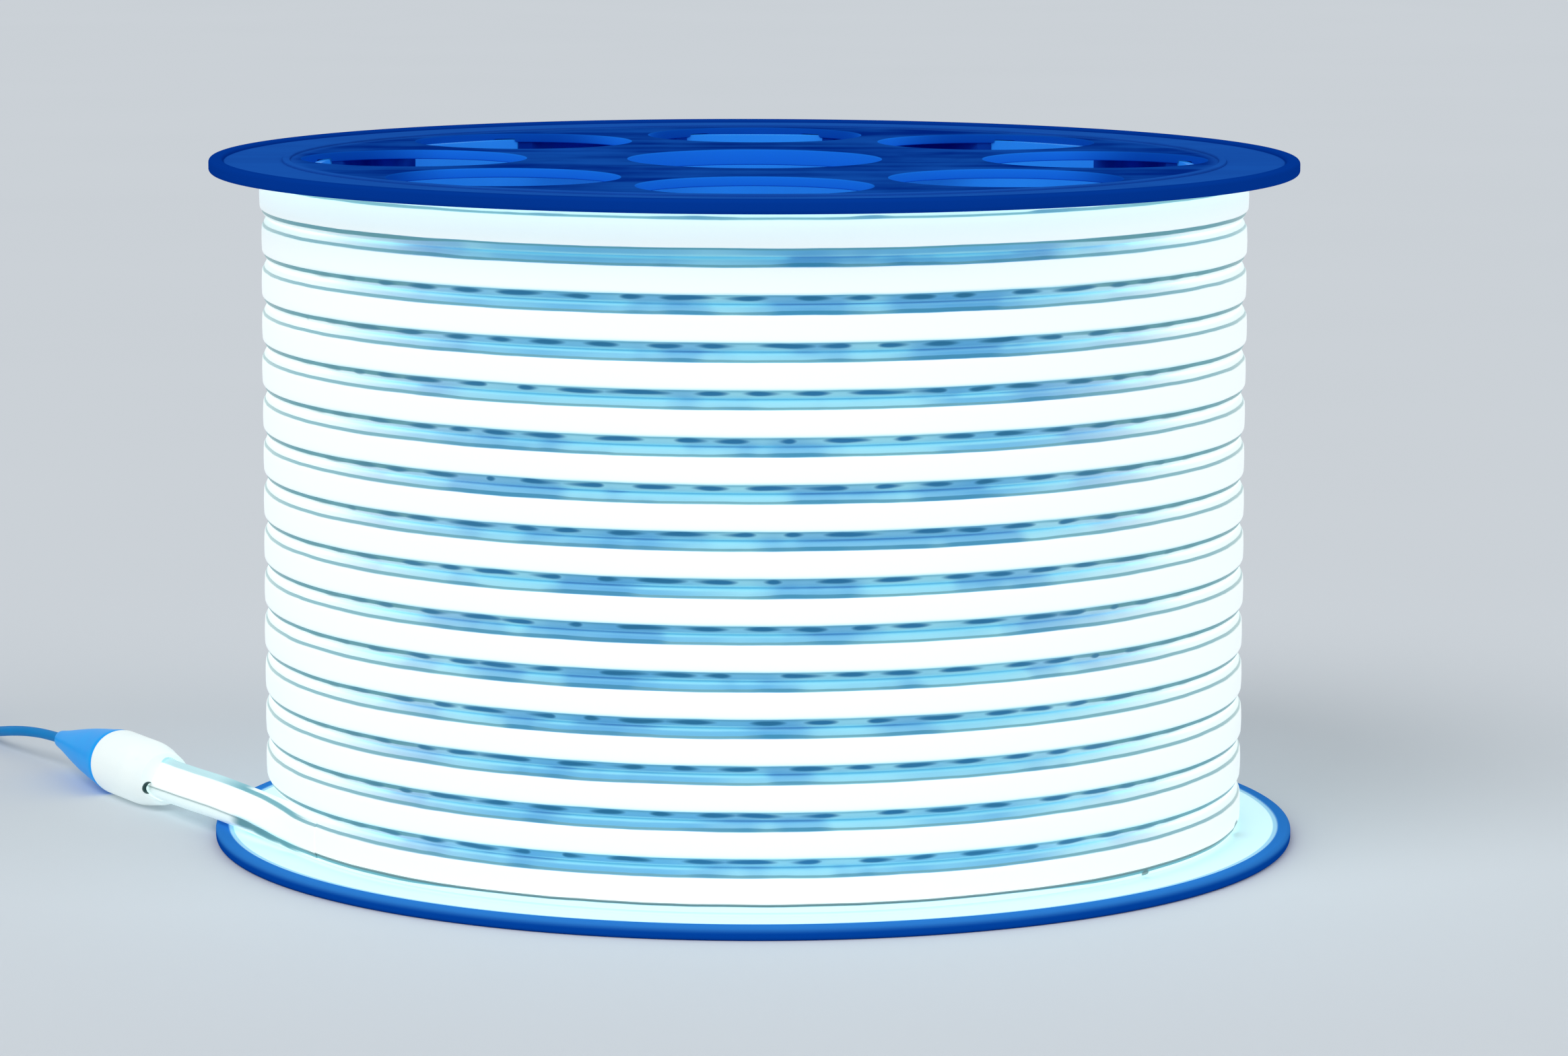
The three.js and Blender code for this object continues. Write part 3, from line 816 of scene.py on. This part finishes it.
def make_lead():
    run = [Vector(p) * MM for p in lead_route]
    run += coil_points()
    run += [Vector(p) * MM for p in lead_end_route]
    line = through(run, route_spacing)
    curve = bpy.data.curves.new("power_lead_cable", "CURVE")
    curve.dimensions = "3D"
    spline = curve.splines.new("POLY")
    spline.points.add(len(line) - 1)
    for point, place in zip(spline.points, line):
        point.co = (*place, 1)
    curve.bevel_depth = lead_radius
    curve.bevel_resolution = 4
    curve.use_fill_caps = True
    lead = bpy.data.objects.new("power_lead_cable", curve)
    bpy.context.scene.collection.objects.link(lead)
    hand_over(lead, lead_finish, "lead_jacket", "power_lead", "power_lead_coil", "power_lead_end")
    return lead, sum((b - a).length for a, b in zip(line, line[1:]))


lead, lead_length = make_lead()


# Reel
def flared_cutter(name, radius, low, high, top):
    """A cutter for a round hole whose two mouths are rounded over."""
    lip = window_lip
    wide = radius + lip
    profile = [(wide, low - sunk), (wide, low)]
    bends = (0.5, 1.0, math.pi / 2)
    profile += [(wide - lip * math.sin(a), low + lip * (1 - math.cos(a))) for a in bends]
    profile += [(wide - lip * math.sin(a), high - lip * (1 - math.cos(a))) for a in bends[::-1]]
    profile += [(wide, high), (wide, top)]
    return turned(name, profile, round_steps)


def make_flange():
    rim_inner = flange_radius - rim_width
    disc_edge = rim_inner + 1.5 * MM
    disc = turned("flange", [(disc_edge, disc_low), (disc_edge, disc_high)], ring_steps)
    rim_section = rounded_section(rim_inner, flange_radius, 0, rim_height, 1.2 * MM, 6)
    combine(disc, spun("rim", rim_section, ring_steps), "UNION")
    ridge = rounded_section(
        ridge_radius - ridge_width / 2, ridge_radius + ridge_width / 2, disc_low - ridge_height,
        disc_low + sunk, 0.45 * MM, 3,
    )
    combine(disc, spun("ridge", ridge, ring_steps), "UNION")
    spigot = rounded_section(
        seat_inner - spigot_width, seat_inner, disc_high - sunk, spigot_top, 0.4 * MM, 3,
    )
    combine(disc, spun("spigot", spigot, ring_steps), "UNION")
    collar = rounded_section(
        hub_radius - 1 * MM, hub_radius + hub_collar, disc_high - sunk, hub_collar_top, 0.4 * MM, 3,
    )
    combine(disc, spun("collar", collar, ring_steps), "UNION")
    seat = rounded_section(seat_inner, seat_outer, seat_floor, disc_high + sunk, 0.2 * MM, 2)
    combine(disc, spun("seat", seat, ring_steps), "DIFFERENCE")
    combine(disc, flared_cutter("hub", hub_radius, disc_low, hub_collar_top, spigot_top), "DIFFERENCE")
    for i in range(window_count):
        cutter = flared_cutter("window", window_radius, disc_low, disc_high, spigot_top + sunk)
        angle = 2 * math.pi * i / window_count
        place = Vector((math.cos(angle), math.sin(angle), 0)) * window_circle
        settle(cutter, Matrix.Translation(place))
        combine(disc, cutter, "DIFFERENCE")
    smooth_faces(disc, 30)
    return disc


def make_reel():
    low = make_flange()
    low.name = "lower_flange"
    high = low.copy()
    high.data = low.data.copy()
    high.name = "upper_flange"
    bpy.context.scene.collection.objects.link(high)
    settle(high, Matrix.Translation((0, 0, reel_height)) @ Matrix.Rotation(math.pi, 4, "X"))
    hand_over(low, flange_finish, "reel_plastic", "bottom_flange")
    hand_over(high, flange_finish, "reel_plastic", "top_flange")
    tube_low, tube_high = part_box("core_tube")
    wall = rounded_section(tube_outer - 2.5 * MM, tube_outer, tube_low.z, tube_high.z, 0.3 * MM, 2)
    tube = spun("core_sleeve", wall, ring_steps)
    smooth_faces(tube, 30)
    hand_over(tube, tube_finish, "tube_plastic", "core_tube")


make_reel()


# Feed connector and cone boot, made along Z and then laid along the feed
def make_connector():
    end = connector_length / MM
    outside = [
        (8.0, 0), (8.4, 0.15), (8.6, 0.6), (9.0, 3), (9.6, 6.5), (10.2, 9.5), (10.5, 12), (10.6, 14),
        (10.6, end - 1.6), (10.45, end - 0.5), (10.1, end),
    ]
    inside = [(9.2, end), (8.95, end - 0.3), (8.9, end - 1), (8.9, 10), (3.2, 10), (3.2, 0)]
    section = [(r * MM, z * MM) for r, z in outside + inside]
    shell = spun("feed_connector", section, round_steps)
    slot_size = (rope_width + 0.6 * MM, rope_thickness + 0.6 * MM, 24 * MM)
    slot_cutter = rounded_block("slot", slot_size, 2.6 * MM, 6)
    settle(slot_cutter, Matrix.Translation((0, 0, 1 * MM)))
    combine(shell, slot_cutter, "DIFFERENCE")
    settle(shell, feed_matrix)
    bpy.ops.object.select_all(action="DESELECT")
    bpy.ops.mesh.primitive_uv_sphere_add(segments=32, ring_count=16, radius=gap_radius, location=gap_place)
    combine(shell, start("gap"), "DIFFERENCE")
    smooth_faces(shell, 35)
    return hand_over(shell, shell_finish, "white_plastic", "connector_body")


def make_boot():
    start_at = (connector_length + boot_gap) / MM
    tip_at = start_at + boot_length / MM
    outside = [
        (9.6, start_at), (10.2, start_at + 0.3), (10.35, start_at + 1.0), (10.25, start_at + 2.2),
        (9.7, start_at + 6), (8.8, start_at + 13), (7.8, start_at + 20), (6.6, start_at + 27),
        (5.3, start_at + 34), (4.3, start_at + 39), (3.75, start_at + 42), (3.5, tip_at - 4),
        (3.2, tip_at - 2), (2.95, tip_at - 0.5), (2.65, tip_at),
    ]
    inside = [(2.1, tip_at), (2.0, tip_at - 0.3), (2.0, start_at - 6), (8.6, start_at - 6), (8.6, start_at)]
    section = [(r * MM, z * MM) for r, z in outside + inside]
    boot = spun("feed_boot", section, round_steps)
    smooth_faces(boot, 35)
    settle(boot, feed_matrix)
    return hand_over(boot, boot_finish, "boot_plastic", "cone_boot")


connector = make_connector()
boot = make_boot()


# Coil tie
tie_angle = math.radians(115)
tie_radius = 20.2 * MM
tie_width = 4.5 * MM
tie_wall = 0.8 * MM
tie_play = 0.6 * MM
lock_size = 5 * MM


def make_tie():
    low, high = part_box("coil_tie")
    across = (spiral_turns + 1) * coil_pitch * MM + tie_play
    tall = 2 * coil_pitch * MM + tie_play
    outer = (across + 2 * tie_wall, tie_width, tall + 2 * tie_wall)
    inner = (across, 2 * tie_width, tall)
    strap = rounded_block("coil_strap", outer, 0.35 * MM, 3)
    combine(strap, rounded_block("hollow", inner, 0.3 * MM, 3), "DIFFERENCE")
    lock = rounded_block("lock", (lock_size, tie_width + 2 * MM, lock_size), 0.5 * MM, 3)
    settle(lock, Matrix.Translation(((across + lock_size) / 2, 0, 0)))
    combine(strap, lock, "UNION")
    smooth_faces(strap, 35)
    away = Vector((math.cos(tie_angle), math.sin(tie_angle), 0)) * tie_radius
    lift = Vector((0, 0, (low.z + high.z) / 2))
    settle(strap, Matrix.Translation(coil_centre + away + lift) @ Matrix.Rotation(tie_angle, 4, "Z"))
    return hand_over(strap, resin_finish, "black_resin", "coil_tie")


coil_strap = make_tie()


# Flat two-pin plug, made along X and then turned, its pins towards the viewer
plug_entry = Vector((-328.3, 166, 6.85)) * MM
plug_thickness = 13.7 * MM
pin_offset = 9.5 * MM
plug_matrix = Matrix.Translation(plug_entry) @ Matrix.Rotation(-math.pi / 2, 4, "Z")


def make_plug():
    half = [(0, 5.0), (6.6, 5.5), (16.5, 15.65), (21.1, 17.65), (33, 17.65)]
    outline = [(x, -y) for x, y in half] + [(x, y) for x, y in reversed(half)]
    bpy.ops.object.select_all(action="DESELECT")
    bpy.ops.mesh.primitive_circle_add(vertices=len(outline), radius=1, fill_type="NGON")
    body = start("mains_plug")
    for vertex, (x, y) in zip(body.data.vertices, outline):
        vertex.co = (x * MM, y * MM, -plug_thickness / 2)
    edit(body)
    bpy.ops.mesh.extrude_region_move(TRANSFORM_OT_translate={"value": (0, 0, plug_thickness)})
    bpy.ops.mesh.select_all(action="SELECT")
    bpy.ops.mesh.normals_make_consistent(inside=False)
    bpy.ops.mesh.bevel(offset=1.8 * MM, segments=5, affect="EDGES")
    leave_edit()
    along_x = Matrix.Rotation(math.pi / 2, 4, "Y")
    entry = turned("entry", [(2 * MM, -1 * MM), (2 * MM, 6 * MM)], 32)
    settle(entry, along_x)
    combine(body, entry, "DIFFERENCE")
    for side in (-1, 1):
        socket = turned("socket", [(2.3 * MM, 26.7 * MM), (2.3 * MM, 34 * MM)], 32)
        settle(socket, Matrix.Translation((0, side * pin_offset, 0)) @ along_x)
        combine(body, socket, "DIFFERENCE")
    smooth_faces(body, 35)
    settle(body, plug_matrix)
    hand_over(body, white_finish, "white_plastic", "plug_body")
    pins = []
    for name, side in (("plug_pin_left", 1), ("plug_pin_right", -1)):
        profile = [(2, 27), (2, 50.6), (1.8, 51.4), (1.3, 51.85), (0.6, 52)]
        pin = turned(name.replace("plug", "mains"), [(r * MM, z * MM) for r, z in profile], 40)
        smooth_faces(pin, 40)
        settle(pin, plug_matrix @ Matrix.Translation((0, side * pin_offset, 0)) @ along_x)
        pins.append(hand_over(pin, nickel_finish, "pin_nickel", name))
    return [body, *pins]


plug_pieces = make_plug()


# Inner pieces keep their frame shapes
inner_finishes = {
    "contact_pin_left": brass_finish,
    "contact_pin_right": brass_finish,
    "rectifier_board": board_finish,
    "rectifier_block": resin_finish,
    "lead_wire_live": brown_finish,
    "lead_wire_neutral": blue_finish,
}
for node, finish in inner_finishes.items():
    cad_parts[node].data.materials.clear()
    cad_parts[node].data.materials.append(finish)


# Studio: pale floor, soft sky and two soft suns
def make_studio():
    pale = (0.66, 0.71, 0.76)
    bpy.ops.object.select_all(action="DESELECT")
    bpy.ops.mesh.primitive_circle_add(vertices=96, radius=14, fill_type="NGON")
    floor = start("studio_floor")
    sheet = Finish("studio_floor", Roughness=0.9, Specular_IOR_Level=0.0)
    speck = sheet.noise(3, detail=2)
    sheet.set_surface(Base_Color=sheet.mix(speck, (0.72, 0.77, 0.82), (0.74, 0.79, 0.84)))
    floor.data.materials.append(sheet.material)
    world = bpy.data.worlds.new("studio")
    bpy.context.scene.world = world
    world.use_nodes = True
    tree = world.node_tree
    soft = tree.nodes["Background"]
    soft.inputs["Color"].default_value = (1, 1, 1, 1)
    soft.inputs["Strength"].default_value = 0.5
    seen = tree.nodes.new("ShaderNodeBackground")
    seen.inputs["Color"].default_value = (*pale, 1)
    seen.inputs["Strength"].default_value = 1
    path = tree.nodes.new("ShaderNodeLightPath")
    either = tree.nodes.new("ShaderNodeMath")
    either.operation = "MAXIMUM"
    tree.links.new(path.outputs["Is Camera Ray"], either.inputs[0])
    tree.links.new(path.outputs["Is Glossy Ray"], either.inputs[1])
    any_seen = tree.nodes.new("ShaderNodeMath")
    any_seen.operation = "MAXIMUM"
    tree.links.new(either.outputs[0], any_seen.inputs[0])
    tree.links.new(path.outputs["Is Transmission Ray"], any_seen.inputs[1])
    mix = tree.nodes.new("ShaderNodeMixShader")
    tree.links.new(any_seen.outputs[0], mix.inputs[0])
    tree.links.new(soft.outputs[0], mix.inputs[1])
    tree.links.new(seen.outputs[0], mix.inputs[2])
    tree.links.new(mix.outputs[0], tree.nodes["World Output"].inputs["Surface"])
    for name, strength, angle, turn in (("key_light", 0.95, 42, -38), ("fill_light", 0.5, 55, 60)):
        lamp = bpy.data.lights.new(name, "SUN")
        lamp.energy = strength
        lamp.angle = math.radians(35)
        light = bpy.data.objects.new(name, lamp)
        light.rotation_euler = (math.radians(angle), 0, math.radians(turn))
        bpy.context.scene.collection.objects.link(light)


make_studio()
bpy.context.scene.view_settings.view_transform = "Standard"
